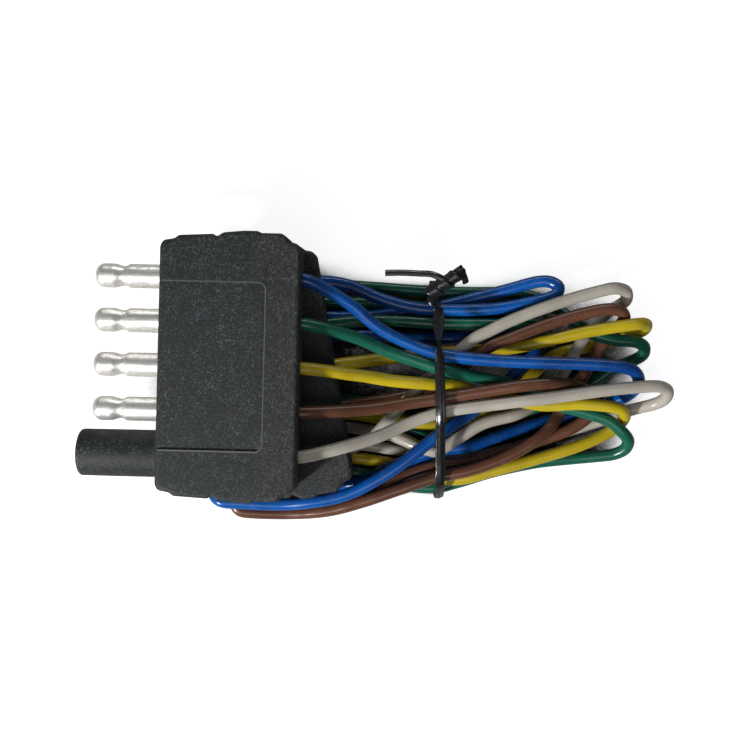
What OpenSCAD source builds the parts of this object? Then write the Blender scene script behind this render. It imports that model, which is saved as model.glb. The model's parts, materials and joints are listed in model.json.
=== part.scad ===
// Five-way flat trailer wiring harness: two flat moulded plugs lying one on the other at the
// left end of a hank of five coloured wires, tied in the middle with a plastic-covered twist tie.
// Millimetres. +Z up, the rest plane is z = 0, the upper plug's pins point along -X.
// The origin is under the middle of the part's box.

/* [Wires] */
// outside diameter of one insulated wire
wire_d = 2.8; // [2.6:0.05:2.8]
// diameter of the stranded copper core
core_d = 1.5; // [1.2:0.05:1.6]
// clearance between the copper and its insulation
core_gap = 0.12; // [0.08:0.01:0.15]
// height of the centre of the lowest layer of wire
layer_0 = 2.3; // [2.3:0.05:2.6]
// rise from one layer of the hank to the next
layer_step = 3; // [3:0.05:3.1]
// largest change of direction between two rings of a swept wire, degrees
ring_turn = 24; // [18:1:30]

/* [Plugs] */
// distance between neighbouring terminals
pitch = 9.5; // [9.5:0.1:9.6]
// thickness of a plug body
body_t = 11.5; // [11:0.1:12]
// length of the upper plug body from mating face to rear face
upper_len = 30; // [29:0.5:31]
// length of the lower plug body
lower_len = 22.5; // [22:0.5:23.5]
// half width of a body at its mating face
half_front = 26.1; // [25.7:0.1:26.4]
// half width of a body at its widest, near the rear
half_rear = 28.4; // [28:0.1:28.8]
// how far the chamfer runs in around the top and bottom faces
edge = 0.7; // [0.3:0.1:1]
// depth of the plain recessed panel on the outer face of a body
panel_depth = 0.4; // [0.2:0.1:0.8]
// height of the underside of the lower plug
lower_z = 4.1; // [4.1:0.1:4.6]
// air gap between the two plugs
stack_gap = 0.1; // [0.05:0.05:0.3]
// turn of the lower plug about the vertical
lower_turn = 11; // [10:0.5:11.5]
// middle of the lower plug's rear face, measured from the upper one's along X
lower_x = 7; // [6.5:0.1:7.2]
// middle of the lower plug's rear face, measured from the upper one's along Y
lower_y = 1.1; // [0.8:0.1:1.4]

/* [Terminals] */
// diameter of a bullet pin's shank and nose
pin_d = 5; // [4.8:0.05:5]
// bare length of a bullet pin in front of the body
pin_out = 14.4; // [13.5:0.1:15]
// diameter of the waist behind the nose
waist_d = 4.2; // [4:0.1:4.4]
// bore of a socket contact
socket_bore_d = 5.1; // [5.1:0.02:5.16]
// outside diameter of a socket contact
socket_d = 6.6; // [6.4:0.1:6.8]
// outside diameter of a shroud
shroud_d = 10.1; // [9.4:0.1:10.2]
// length of the single shroud on the upper plug
upper_shroud = 16.8; // [15:0.1:17.5]
// length of the four shrouds on the lower plug
lower_shroud = 13.2; // [13:0.1:13.6]
// clearance around parts moulded into the body
mould_gap = 0.03; // [0.02:0.01:0.05]

/* [Twist tie] */
// width of the ribbon
tie_w = 1.9; // [1.6:0.1:2]
// thickness of the ribbon
tie_t = 0.7; // [0.6:0.05:0.75]
// diameter of the steel wire inside the ribbon
tie_core_d = 0.36; // [0.3:0.02:0.4]

/* [Hidden] */
$fn = 48;
sides_out = 8;
sides_in = 6;
sides_core = 4;
lead_gap = 0.6;      // gap at the fold line between a plug's lead and the hank
upper_x = -18.4;     // middle of the upper plug's rear face in the part's frame
upper_y = 3.45;
carrier_back = 3.5;  // mating face to front of the carrier
carrier_len = 8;
crimp_len = 5.5;
carrier_w = 46.5;
carrier_t = 8;
sleeve_end = 2.6;    // mating face back to the end of a socket contact's wide sleeve
root_r = pin_d / 2 - 0.35;   // terminal inside the body
collar_r = pin_d / 2 + 0.6;
crimp_r = 2;
crimp_bore_r = 1;
relief_r = collar_r;         // shallow relief round each bare pin, so a mating face can close up flat
relief_depth = 0.5;
into_crimp = carrier_back + carrier_len + 1.3;   // mating face to the end of the copper
panel_back = 7.5;    // rear face to the end of the panel
panel_half = 17.6;
panel_corner = 2;
lead_in = carrier_back + carrier_len + crimp_len + 0.3;  // mating face to end of insulation
upper_z = lower_z + body_t + stack_gap;
upper_mid = upper_z + body_t / 2;
lower_mid = lower_z + body_t / 2;
order = [2, 1, 0, -1, -2];   // blue, green, yellow, brown, white across the plug

blue_pvc = [0.06, 0.3, 0.72];
green_pvc = [0.1, 0.42, 0.3];
yellow_pvc = [0.75, 0.66, 0.12];
brown_pvc = [0.4, 0.24, 0.18];
white_pvc = [0.82, 0.8, 0.75];
black_pvc = [0.13, 0.13, 0.14];
copper = [0.78, 0.45, 0.25];
tin = [0.78, 0.78, 0.77];

// ---------- helpers ----------

function unit(v) = v / norm(v);
function turn(a, b) = acos(max(-1, min(1, unit(a) * unit(b))));
function last(list) = list[len(list) - 1];

// a semicircular left-hand bend in one layer, from row y_a to row y_b
function bend(x, y_a, y_b) =
  [for (a = [90, 45, 0, -45, -90])
    [x - abs(y_a - y_b) / 2 * cos(a), (y_a + y_b) / 2 + (y_a - y_b) / 2 * sin(a), 0]];

// route points are [x, y, layer], measured from the middle of the upper plug's rear face
function height(layer) = layer_0 + layer_step * layer;
function placed(route) = [for (p = route) [upper_x + p[0], upper_y + p[1], height(p[2])]];

// centripetal spline through a list of points, used between point first and point final
function at(pts, i) =
  i < 0 ? 2 * pts[0] - pts[1] :
  i >= len(pts) ? 2 * last(pts) - pts[len(pts) - 2] : pts[i];
function mix(a, b, ta, tb, t) = (tb - t) / (tb - ta) * a + (t - ta) / (tb - ta) * b;
function spline_at(p, t1, t2, t3, t) =
  let (
    a1 = mix(p[0], p[1], 0, t1, t),
    a2 = mix(p[1], p[2], t1, t2, t),
    a3 = mix(p[2], p[3], t2, t3, t),
    b1 = mix(a1, a2, 0, t2, t),
    b2 = mix(a2, a3, t1, t3, t)
  ) mix(b1, b2, t1, t2, t);
function span(p) =
  let (
    t1 = sqrt(norm(p[1] - p[0])),
    t2 = t1 + sqrt(norm(p[2] - p[1])),
    t3 = t2 + sqrt(norm(p[3] - p[2])),
    n = max(1, ceil((turn(p[1] - p[0], p[2] - p[1]) + turn(p[2] - p[1], p[3] - p[2])) / 2 / ring_turn))
  ) [for (k = [0:n - 1]) spline_at(p, t1, t2, t3, t1 + (t2 - t1) * k / n)];
function curve(pts, first, final) = concat(
  [for (i = [first:final - 1])
    for (q = span([at(pts, i - 1), at(pts, i), at(pts, i + 1), at(pts, i + 2)])) q],
  [pts[final]]);
function full_curve(pts) = curve(pts, 0, len(pts) - 1);

// pull the first or last point of a path in along the path
function cut_start(path, d) =
  [for (i = [0:len(path) - 1]) i == 0 ? path[0] + d * unit(path[1] - path[0]) : path[i]];
function cut_end(path, d) =
  let (n = len(path) - 1)
  [for (i = [0:n]) i == n ? path[n] + d * unit(path[n - 1] - path[n]) : path[i]];

// tangents, and normals carried along the path without twist
function tangents(path) =
  let (n = len(path) - 1)
  [for (i = [0:n]) unit(path[min(n, i + 1)] - path[max(0, i - 1)])];
function square_to(v, t) = unit(v - (v * t) * t);
function first_normal(t) = square_to(abs(t[2]) > 0.9 ? [0, 1, 0] : [0, 0, 1], t);
function normals(tans) =
  [for (i = 0, n = first_normal(tans[0]);
        i < len(tans);
        i = i + 1, n = i < len(tans) ? square_to(n, tans[i]) : n) n];

function round_section(r, sides) =
  [for (k = [0:sides - 1]) [r * cos(360 * (k + 0.5) / sides), r * sin(360 * (k + 0.5) / sides)]];
function flat_section(w, t) =
  let (c = t / 4)
  [[-w / 2 + c, -t / 2], [w / 2 - c, -t / 2], [w / 2, 0], [w / 2 - c, t / 2], [-w / 2 + c, t / 2], [-w / 2, 0]];

function rings(path, tans, norms, section) =
  [for (i = [0:len(path) - 1])
    for (s = section)
      path[i] + s[0] * norms[i] + s[1] * cross(tans[i], norms[i])];

// side quads of a swept skin, as triangles
function skin(count, sides, offset, flip) =
  [for (i = [0:count - 2])
    for (k = [0:sides - 1])
      let (
        k2 = (k + 1) % sides,
        a = offset + i * sides + k,
        b = offset + i * sides + k2,
        c = offset + (i + 1) * sides + k2,
        d = offset + (i + 1) * sides + k
      )
      for (f = [[a, c, b], [a, d, c]]) flip ? [f[0], f[2], f[1]] : f];

// annulus between an outer ring of n points at a and an inner ring of m points at b
function annulus(n, m, a, b, flip) =
  let (
    steps = [for (i = 0, j = 0;
                  i < n || j < m;
                  take = (j >= m) || (i < n && (i + 1) / n <= (j + 1) / m),
                  i2 = take ? i + 1 : i,
                  j = take ? j : j + 1,
                  i = i2) [i, j, (j >= m) || (i < n && (i + 1) / n <= (j + 1) / m)]]
  )
  [for (s = steps)
    let (
      f = s[2] ? [a + s[0] % n, a + (s[0] + 1) % n, b + s[1] % m]
               : [a + s[0] % n, b + (s[1] + 1) % m, b + s[1] % m]
    ) flip ? [f[0], f[2], f[1]] : f];

function fan(n, a, flip) =
  [for (k = [1:n - 2]) flip ? [a, a + k + 1, a + k] : [a, a + k, a + k + 1]];

module solid_sweep(path, section, norms_in = undef) {
  tans = tangents(path);
  norms = is_undef(norms_in) ? normals(tans) : norms_in;
  count = len(path);
  n = len(section);
  polyhedron(
    points = rings(path, tans, norms, section),
    faces = concat(skin(count, n, 0, false), fan(n, 0, false), fan(n, (count - 1) * n, true)));
}

module hollow_sweep(path, outer, inner, norms_in = undef) {
  tans = tangents(path);
  norms = is_undef(norms_in) ? normals(tans) : norms_in;
  count = len(path);
  n = len(outer);
  m = len(inner);
  base = count * n;
  polyhedron(
    points = concat(rings(path, tans, norms, outer), rings(path, tans, norms, inner)),
    faces = concat(
      skin(count, n, 0, false),
      skin(count, m, base, true),
      annulus(n, m, 0, base, false),
      annulus(n, m, (count - 1) * n, base + (count - 1) * m, true)));
}

module insulation(path) {
  hollow_sweep(path,
    round_section(wire_d / 2, sides_out),
    round_section(core_d / 2 + core_gap, sides_in));
}

module core(path) {
  solid_sweep(path, round_section(core_d / 2, sides_core));
}

// ---------- where the plugs stand ----------

function upper_point(back, across) = [upper_x + back - upper_len, upper_y + across, upper_mid];
function lower_point(back, across) =
  let (b = back - lower_len)
  [upper_x + lower_x + b * cos(lower_turn) - across * sin(lower_turn),
   upper_y + lower_y + b * sin(lower_turn) + across * cos(lower_turn),
   lower_mid];

module on_upper() {
  translate([upper_x - upper_len, upper_y, upper_mid]) children();
}
module on_lower() {
  translate([upper_x + lower_x, upper_y + lower_y, lower_mid])
    rotate([0, 0, lower_turn])
      translate([-lower_len, 0, 0]) children();
}

// ---------- wire routes ----------
// each list starts at the fold line behind the upper plug and ends at the fold line behind the lower one

blue_route = concat([
  [10.5, 14, 5.17], [16, 9.6, 4.7], [22, 6.6, 4.2], [30.5, 3.9, 4], [44, 2.8, 4], [60, 2.6, 4], [69, 2.3, 4],
  [73.4, 1.4, 3.7], [75.2, -0.4, 3.1], [75.2, -2.6, 2.3], [73.4, -4.6, 1.5], [69.5, -6.6, 0.4],
  [64, -8.6, 0], [52, -12.2, 0], [44, -15, 0.4], [38, -17, 0.9], [30.5, -18.3, 1], [20, -22.3, 1],
  [15, -25, 1], [12.5, -26.2, 0.5], [9.5, -26.8, 0.05], [5, -26.9, 0], [-16, -26.7, 0],
  [-18.6, -27, 0.1], [-20.6, -28.2, 0.4], [-20.6, -30, 0.75], [-18.6, -31.2, 1],
  [-14, -31.4, 1.05], [-6, -31.4, 1.3], [2, -30.4, 2], [10, -28.3, 2.6], [20, -22.6, 3], [30.5, -14.2, 3],
  [38.5, -8.7, 2.2], [45.5, -2.2, 1.9], [50, 2.4, 1.9], [52.2, 4.6, 1.7], [52.6, 6.8, 1.35],
  [50.6, 8.6, 1], [46.5, 8.9, 1], [38, 8.2, 1], [30.5, 7.8, 1], [20, 8, 0.7], [12, 8.2, 0.1], [5, 8, 0]],
  bend(-8, 8, 12.4),
  [[5, 12.4, 0], [14, 12.6, 0.3], [22, 13.6, 0.9], [30.5, 15.2, 1], [38, 17.2, 1], [46, 19.4, 1.2],
  [52, 21.2, 1.3], [55.4, 21.4, 1.55], [57.4, 20.2, 1.8], [56.8, 18.4, 2], [53.4, 17, 2.05],
  [45, 15.1, 2], [38, 14.4, 2], [30.5, 14.2, 2], [24, 14.6, 2], [16, 16.6, 2.15], [9.5, 19.2, 2.4]]);

green_route = concat([
  [11.9, 7, 5.17], [17, 4.9, 4.6], [22, 3.2, 4.2], [30.5, 0.7, 4], [38, -0.8, 3.4], [45, -2, 3],
  [50, -4.2, 2.3], [53, -5.3, 2], [58, -7, 2], [64, -8.4, 2], [69.5, -10.2, 2.1], [72.8, -12.8, 2],
  [74.4, -14.8, 1.6], [73.9, -16.8, 1.1], [71.4, -18.2, 0.5], [67, -18.9, 0.1], [63, -19.4, 0],
  [54, -20.6, 0], [44, -23, 0], [36, -25.6, 0], [30.5, -27, 0], [22, -26.4, 0], [14, -24.1, 0], [5, -23.4, 0]],
  bend(-9, -23.4, -7),
  [[5, -7, 0], [12, -7.2, 0], [18, -8.6, 0], [24, -11.6, 0], [30.5, -14.4, 0], [44, -11, 0], [58, -6, 0],
  [66, -2, 0], [71, 1.6, 0.4], [75, 3.6, 0.9], [77.4, 5.2, 1.4], [77.2, 7.1, 1.8], [74.8, 8.1, 2],
  [71, 8.3, 2], [66, 9.4, 2], [62, 11.6, 2], [58, 14.9, 1.3], [54, 17.6, 0.3], [48, 18.9, 0],
  [38, 18.8, 0], [30.5, 18.8, 0], [16, 19.4, 0], [5, 19.9, 0]],
  bend(-3, 19.9, 15.7),
  [[5, 15.7, 0], [16, 15.8, 0], [26, 15.2, 0], [38, 15, 0], [45, 15.2, 0], [50.4, 14.6, 0.35],
  [53.4, 13.6, 0.9], [53.6, 12, 1.5], [50.6, 11.2, 2], [44, 11.2, 2], [30.5, 11.1, 2], [20, 11.4, 2.05],
  [11.1, 11.1, 2.3]]);

yellow_route = concat([
  [13.4, -1.3, 5.17], [20, -2.2, 4.5], [28, -2.7, 4], [33.5, -2.9, 3.4], [38, -4, 3], [44, -5.2, 3],
  [49, -6.2, 3], [54, -6.9, 3], [62, -6.4, 3], [68, -6.7, 3], [71.6, -7.4, 2.7], [73.2, -9.2, 1.8],
  [72.4, -11.2, 1.05], [69.6, -13.4, 0.9], [63, -16.4, 1], [54, -19.4, 1], [44, -22.4, 1], [36, -24.6, 1],
  [31, -24.6, 0.6], [27, -23.4, 0.05], [22, -22, 0], [14, -20.8, 0], [5, -20.3, 0]],
  bend(-8, -20.3, -10.1),
  [[5, -10.1, 0], [12, -10.4, 0.18], [20, -11.4, 1], [30.5, -12, 1], [40, -9.6, 1], [48, -5, 0.6],
  [53, 0.2, 0], [58, 4.6, 0], [64, 6.4, 0], [70, 8, 0], [74.8, 9.7, 0.6], [77.4, 10.8, 1.3],
  [77.4, 12, 2.1], [74.6, 11.9, 2.9], [69, 11, 3], [62, 9.6, 3], [55, 7.8, 2.8], [47, 5.9, 2.1],
  [38, 5, 2], [30.5, 4.4, 2], [21, 3.2, 2], [12.9, 2, 2.3]]);

brown_route = concat([
  [14.8, -8.5, 5.17], [22, -7.3, 4.3], [30.5, -5.9, 4], [40, -4.1, 4], [48, -2.7, 4], [55, -1.9, 3.7],
  [60.4, -2.2, 3], [64.4, -3.6, 2.3], [66.3, -6, 1.4], [65.4, -9.4, 1.06], [61, -12.6, 1], [58, -13.9, 1],
  [48, -17.4, 1], [38, -20.6, 1], [30.5, -21.6, 1], [24, -23.8, 1], [20, -26, 1], [14, -28.8, 0.6],
  [7, -30, 0]],
  bend(-14, -29.8, -33.8),
  [[-4, -33.9, 0.1], [6, -32.6, 1], [14, -30, 1.8], [22, -27, 2], [30.5, -24, 2], [38, -22.2, 2],
  [45, -19.6, 2], [50, -17, 2], [53.5, -14.6, 2], [56.5, -12, 1.6], [58.5, -9.4, 1], [60, -7, 1],
  [63, -2.2, 1], [66, 3.4, 1], [69, 8.2, 1], [71.2, 11, 1.3], [72.4, 13.2, 2.1], [70.8, 14.9, 2.8],
  [66.6, 14.9, 3], [61, 13.5, 3], [53.5, 11, 3], [46, 7.9, 3], [41.6, 6, 3], [38.5, 3.6, 3],
  [35.5, 1, 2.4], [31, -2.4, 2], [25, -5, 2], [14.6, -7.3, 2.3]]);

white_route = concat([
  [16, -14.8, 5.17], [23, -11.8, 4.3], [30.5, -9, 4], [46, -6.4, 4], [56, -5, 4], [65, -3.5, 4],
  [74, -2.3, 4], [79, -2, 3.7], [81.8, -2.9, 3], [82, -4.8, 2.2], [79.8, -6.3, 1.4], [75, -7.8, 0.8],
  [67.6, -11, 0.1], [58.6, -13.9, 0], [48, -17.6, 0], [38, -19.6, 0], [30.5, -19.8, 0], [20, -18.2, 0],
  [12, -17.3, 0], [5, -17.2, 0]],
  bend(-7, -17.2, -13.2),
  [[5, -13.2, 0], [12, -13.6, 0.15], [20, -14.8, 1.2], [26, -17, 2], [30.5, -18, 2], [35.5, -14.8, 2],
  [41, -11.4, 2], [48, -9.4, 1.8], [53.5, -6.4, 1], [58.5, -1, 1], [62.4, 6, 1], [66, 11.4, 1],
  [69.8, 15.2, 1.2], [72.8, 17.4, 1.8], [72.2, 19.4, 2.5], [69, 19.8, 3], [65, 18.8, 3], [60, 17.3, 3],
  [53, 14.8, 3], [46, 11.9, 3], [41.5, 9.6, 3], [38.3, 7.9, 3], [34.8, 5, 3], [31, 1.6, 3],
  [26, -3.4, 3], [21, -9, 2.9], [16, -14.7, 2.6]]);

// whole wire from the upper crimp to the lower crimp; the leads are the first four and last three points
function whole_wire(route, slot) = concat(
  [upper_point(lead_in, slot * pitch),
   upper_point(upper_len - 1.2, slot * pitch),
   upper_point(upper_len + 0.6, slot * pitch)],
  placed(route),
  [lower_point(lower_len + 0.6, slot * pitch),
   lower_point(lower_len - 1.2, slot * pitch),
   lower_point(lead_in, slot * pitch)]);

function upper_lead_path(route, slot) =
  cut_end(curve(whole_wire(route, slot), 0, 3), lead_gap / 2);
function hank_path(route, slot) =
  cut_end(cut_start(curve(whole_wire(route, slot), 3, len(route) + 2), lead_gap / 2), lead_gap / 2);
function lower_lead_path(route, slot) =
  cut_start(curve(whole_wire(route, slot), len(route) + 2, len(route) + 5), lead_gap / 2);

module upper_core(route, slot) {
  core(concat([upper_point(into_crimp, slot * pitch)], upper_lead_path(route, slot)));
}
module lower_core(route, slot) {
  core(concat(lower_lead_path(route, slot), [lower_point(into_crimp, slot * pitch)]));
}

// ---------- plug bodies ----------
// plug coordinates: x = 0 is the mating face, +x runs back to the rear face, y across, z = 0 mid thickness

// [distance from the mating face, half width]; the middle stretches with the body length
function side_steps(length) =
  let (d = length - 30)
  [[0, half_front - 0.6], [0.8, half_front], [3.2, half_front + 0.4], [3.8, half_front + 1.2],
   [11.4 + d / 2, half_front + 1.5], [12.1 + d / 2, half_front + 0.9], [12.9 + d / 2, half_rear - 0.5],
   [17.7 + d, half_rear], [20.8 + d, half_rear], [21.2 + d, half_rear - 0.4],
   [26 + d, half_rear - 0.4], [27.3 + d, half_rear - 1.9], [28.6 + d, half_rear - 2.3],
   [length, half_rear - 3]];

function outline(length, inset) =
  let (
    side = side_steps(length),
    n = len(side) - 1,
    x_of = [for (i = [0:n]) i == 0 ? inset : i == n ? length - inset : side[i][0]]
  )
  concat(
    [for (i = [0:n]) [x_of[i], side[i][1] - inset]],
    [for (i = [n:-1:0]) [x_of[i], inset - side[i][1]]]);

module along_x() {
  rotate([0, 90, 0]) children();
}

module rod(from, to, r) {
  translate([from, 0, 0]) along_x() cylinder(h = to - from, r = r);
}

// plain recessed panel, rounded at its rear corners
module panel(length, outer_face) {
  front = -1;
  back = length - panel_back;
  translate([0, 0, outer_face * body_t / 2 - panel_depth])
    linear_extrude(2 * panel_depth)
      union() {
        translate([front, -panel_half])
          square([back - front - panel_corner, 2 * panel_half]);
        translate([front, -panel_half + panel_corner])
          square([back - front, 2 * (panel_half - panel_corner)]);
        for (s = [-1, 1])
          translate([back - panel_corner, s * (panel_half - panel_corner)]) circle(r = panel_corner);
      }
}

// everything the moulding closes around at one terminal position
module terminal_room(length) {
  g = mould_gap;
  rod(-1, relief_depth, relief_r);
  rod(-1, carrier_back + 1, root_r + g);
  rod(carrier_back + carrier_len - 0.5, carrier_back + carrier_len + crimp_len + 0.2, root_r + g);
  rod(lead_in - 0.4, length + 1, wire_d / 2 + g);
  translate([length - 1.6, 0, 0]) along_x() cylinder(h = 1.7, r1 = wire_d / 2 + g, r2 = wire_d / 2 + 0.5);
}

module shroud_solid(reach) {
  translate([-reach + 0.6, 0, 0]) along_x() cylinder(h = reach + 1, r = shroud_d / 2);
  translate([-reach, 0, 0]) along_x() cylinder(h = 0.61, r1 = shroud_d / 2 - 0.6, r2 = shroud_d / 2);
}

module shroud_room(reach) {
  rod(-reach - 1, sleeve_end + mould_gap, socket_d / 2 + mould_gap);
  translate([-reach - 0.01, 0, 0])
    along_x() cylinder(h = 0.8, r1 = socket_d / 2 + 0.6, r2 = socket_d / 2 + mould_gap);
}

module overmould(length, shrouds, reach, outer_face) {
  g = mould_gap;
  difference() {
    union() {
      translate([0, 0, -body_t / 2]) linear_extrude(body_t) polygon(outline(length, edge));
      translate([0, 0, -body_t / 2 + edge]) linear_extrude(body_t - 2 * edge) polygon(outline(length, 0));
      for (s = shrouds) translate([0, s * pitch, 0]) shroud_solid(reach);
    }
    panel(length, outer_face);
    translate([carrier_back - g, -carrier_w / 2 - g, -carrier_t / 2 - g])
      cube([carrier_len + 2 * g, carrier_w + 2 * g, carrier_t + 2 * g]);
    for (s = order) translate([0, s * pitch, 0]) terminal_room(length);
    for (s = shrouds) translate([0, s * pitch, 0]) shroud_room(reach);
  }
}

// the hard insert that holds the five terminals in line
module carrier() {
  g = mould_gap;
  collar = carrier_back + 3;
  difference() {
    translate([carrier_back, -carrier_w / 2, -carrier_t / 2]) cube([carrier_len, carrier_w, carrier_t]);
    for (s = order)
      translate([0, s * pitch, 0]) {
        rod(carrier_back - 1, carrier_back + carrier_len + 1, root_r + g);
        rod(collar - g, collar + 1 + g, collar_r + g);
      }
  }
}

// ---------- terminals ----------

// the part of a terminal behind the mating face: collar in the carrier, then the crimp barrel
function terminal_tail() =
  let (
    r = root_r,
    collar = carrier_back + 3,
    back = carrier_back + carrier_len
  )
  [[r, collar], [collar_r, collar], [collar_r, collar + 1], [r, collar + 1], [r, back - 0.3],
   [crimp_r, back + 0.2], [crimp_r, back + crimp_len], [crimp_bore_r, back + crimp_len],
   [crimp_bore_r, back + 1], [0, back + 1]];

module turned(profile) {
  along_x() rotate_extrude() polygon(profile);
}

// rounded nose, smooth waist, then a small step up to the shank, which stops just short of the body
module bullet_pin() {
  nose_r = pin_d / 2 - 0.1;
  nose_len = 2.7;
  waist_from = 5.4;
  waist_to = 6.4;
  shank_end = 0.3;
  r = pin_d / 2;
  w = waist_d / 2;
  turned(concat(
    [for (a = [0:15:90]) [nose_r * sin(a), nose_len * (1 - cos(a)) - pin_out]],
    [for (k = [1:6])
      let (t = k / 6)
      [nose_r - (nose_r - w) * (3 * t * t - 2 * t * t * t), nose_len + t * (waist_from - nose_len) - pin_out]],
    [[w, waist_to - pin_out], [r, waist_to + 0.4 - pin_out], [r, -shank_end], [root_r, -shank_end]],
    terminal_tail()));
}

module socket_contact(reach) {
  mouth = 0.8 - reach;
  floor_at = sleeve_end - 0.4;
  slot_w = 0.8;
  difference() {
    turned(concat(
      [[0, floor_at], [socket_bore_d / 2, floor_at], [socket_bore_d / 2, mouth], [socket_d / 2, mouth],
       [socket_d / 2, sleeve_end], [root_r, sleeve_end]],
      terminal_tail()));
    translate([mouth - 1, -slot_w / 2, 0]) cube([reach - 4.5, slot_w, socket_d]);
  }
}

// ---------- twist tie ----------

// measured from the middle of the upper plug's rear face, as the routes are
knot_root = [27.6, 17.4, 14.6];
knot_tip = [34.2, 22, 16];
knot_r = 0.95;
knot_turns = 1.5;

// loop round the hank, given as [y, z]; x leans slightly along the band
loop_yz = [
  [14.4, 14.2], [9, 16.2], [3.9, 17.2], [-9.4, 17.2], [-15.2, 14.6], [-20, 12.6], [-25.4, 10.5],
  [-28.2, 6.4], [-29.1, 2.6], [-28, 0.6], [-24, 0.45], [0, 0.45], [18, 0.45], [20.2, 0.8], [21, 2.6],
  [20.3, 6], [18.6, 9.6], [17.4, 12.2]];
function lean(y) = 30.1 - 0.045 * y;
tie_loop = [for (p = loop_yz) [lean(p[0]), p[0], p[1]]];

// one strand of the twisted knot; the two strands are half a turn apart
knot_axis = unit(knot_tip - knot_root);
knot_side = square_to([0, 0, 1], knot_axis);
knot_cross = cross(knot_axis, knot_side);
function knot_dir(a) = cos(a) * knot_side + sin(a) * knot_cross;
function knot_strand(phase, from, to) =
  let (steps = ceil(abs(to - from) * knot_turns * 8))
  [for (k = [0:steps])
    let (s = from + (to - from) * k / steps, a = phase + 360 * knot_turns * s)
    knot_root + s * (knot_tip - knot_root) + knot_r * knot_dir(a)];

tie_tail = [[17.6, 21.6, 15.6], [21, 21.7, 15.8], [25, 21.6, 16.1], [28, 21.4, 16.6]];
tie_end = [[35, 21.4, 15.2], [35.6, 20, 14]];
tie_points = concat(
  tie_tail,
  knot_strand(60, 0.55, 0),
  full_curve(tie_loop),
  knot_strand(240, 0, 1),
  tie_end);
tie_path = [for (p = tie_points) p + [upper_x, upper_y, 0]];

// the ribbon lies flat against what it passes round
function loop_normal(p) = square_to([1, 0, 0], p);

module tie_ribbon() {
  color(black_pvc)
    hollow_sweep(tie_path, flat_section(tie_w, tie_t), round_section(tie_core_d / 2 + 0.06, 4),
      [for (t = tangents(tie_path)) loop_normal(t)]);
}

module tie_core() {
  color(tin)
    solid_sweep(tie_path, round_section(tie_core_d / 2, 4),
      [for (t = tangents(tie_path)) loop_normal(t)]);
}

// ---------- nodes ----------

module upper_overmould() {
  color(black_pvc) on_upper() overmould(upper_len, [-2], upper_shroud, 1);
}
module upper_carrier() {
  color(black_pvc) on_upper() carrier();
}
module upper_pin_blue() {
  color(tin) on_upper() translate([0, 2 * pitch, 0]) bullet_pin();
}
module upper_pin_green() {
  color(tin) on_upper() translate([0, pitch, 0]) bullet_pin();
}
module upper_pin_yellow() {
  color(tin) on_upper() bullet_pin();
}
module upper_pin_brown() {
  color(tin) on_upper() translate([0, -pitch, 0]) bullet_pin();
}
module upper_socket_white() {
  color(tin) on_upper() translate([0, -2 * pitch, 0]) socket_contact(upper_shroud);
}
module upper_lead_blue() {
  color(blue_pvc) insulation(upper_lead_path(blue_route, 2));
}
module upper_lead_green() {
  color(green_pvc) insulation(upper_lead_path(green_route, 1));
}
module upper_lead_yellow() {
  color(yellow_pvc) insulation(upper_lead_path(yellow_route, 0));
}
module upper_lead_brown() {
  color(brown_pvc) insulation(upper_lead_path(brown_route, -1));
}
module upper_lead_white() {
  color(white_pvc) insulation(upper_lead_path(white_route, -2));
}
module upper_lead_cores() {
  color(copper) {
    upper_core(blue_route, 2);
    upper_core(green_route, 1);
    upper_core(yellow_route, 0);
    upper_core(brown_route, -1);
    upper_core(white_route, -2);
  }
}

module lower_overmould() {
  color(black_pvc) on_lower() overmould(lower_len, [2, 1, 0, -1], lower_shroud, -1);
}
module lower_carrier() {
  color(black_pvc) on_lower() carrier();
}
module lower_socket_blue() {
  color(tin) on_lower() translate([0, 2 * pitch, 0]) socket_contact(lower_shroud);
}
module lower_socket_green() {
  color(tin) on_lower() translate([0, pitch, 0]) socket_contact(lower_shroud);
}
module lower_socket_yellow() {
  color(tin) on_lower() socket_contact(lower_shroud);
}
module lower_socket_brown() {
  color(tin) on_lower() translate([0, -pitch, 0]) socket_contact(lower_shroud);
}
module lower_pin_white() {
  color(tin) on_lower() translate([0, -2 * pitch, 0]) bullet_pin();
}
module lower_lead_blue() {
  color(blue_pvc) insulation(lower_lead_path(blue_route, 2));
}
module lower_lead_green() {
  color(green_pvc) insulation(lower_lead_path(green_route, 1));
}
module lower_lead_yellow() {
  color(yellow_pvc) insulation(lower_lead_path(yellow_route, 0));
}
module lower_lead_brown() {
  color(brown_pvc) insulation(lower_lead_path(brown_route, -1));
}
module lower_lead_white() {
  color(white_pvc) insulation(lower_lead_path(white_route, -2));
}
module lower_lead_cores() {
  color(copper) {
    lower_core(blue_route, 2);
    lower_core(green_route, 1);
    lower_core(yellow_route, 0);
    lower_core(brown_route, -1);
    lower_core(white_route, -2);
  }
}

module hank_wire_blue() {
  color(blue_pvc) insulation(hank_path(blue_route, 2));
}
module hank_wire_green() {
  color(green_pvc) insulation(hank_path(green_route, 1));
}
module hank_wire_yellow() {
  color(yellow_pvc) insulation(hank_path(yellow_route, 0));
}
module hank_wire_brown() {
  color(brown_pvc) insulation(hank_path(brown_route, -1));
}
module hank_wire_white() {
  color(white_pvc) insulation(hank_path(white_route, -2));
}
module hank_core_blue() {
  color(copper) core(hank_path(blue_route, 2));
}
module hank_core_green() {
  color(copper) core(hank_path(green_route, 1));
}
module hank_core_yellow() {
  color(copper) core(hank_path(yellow_route, 0));
}
module hank_core_brown() {
  color(copper) core(hank_path(brown_route, -1));
}
module hank_core_white() {
  color(copper) core(hank_path(white_route, -2));
}

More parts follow.
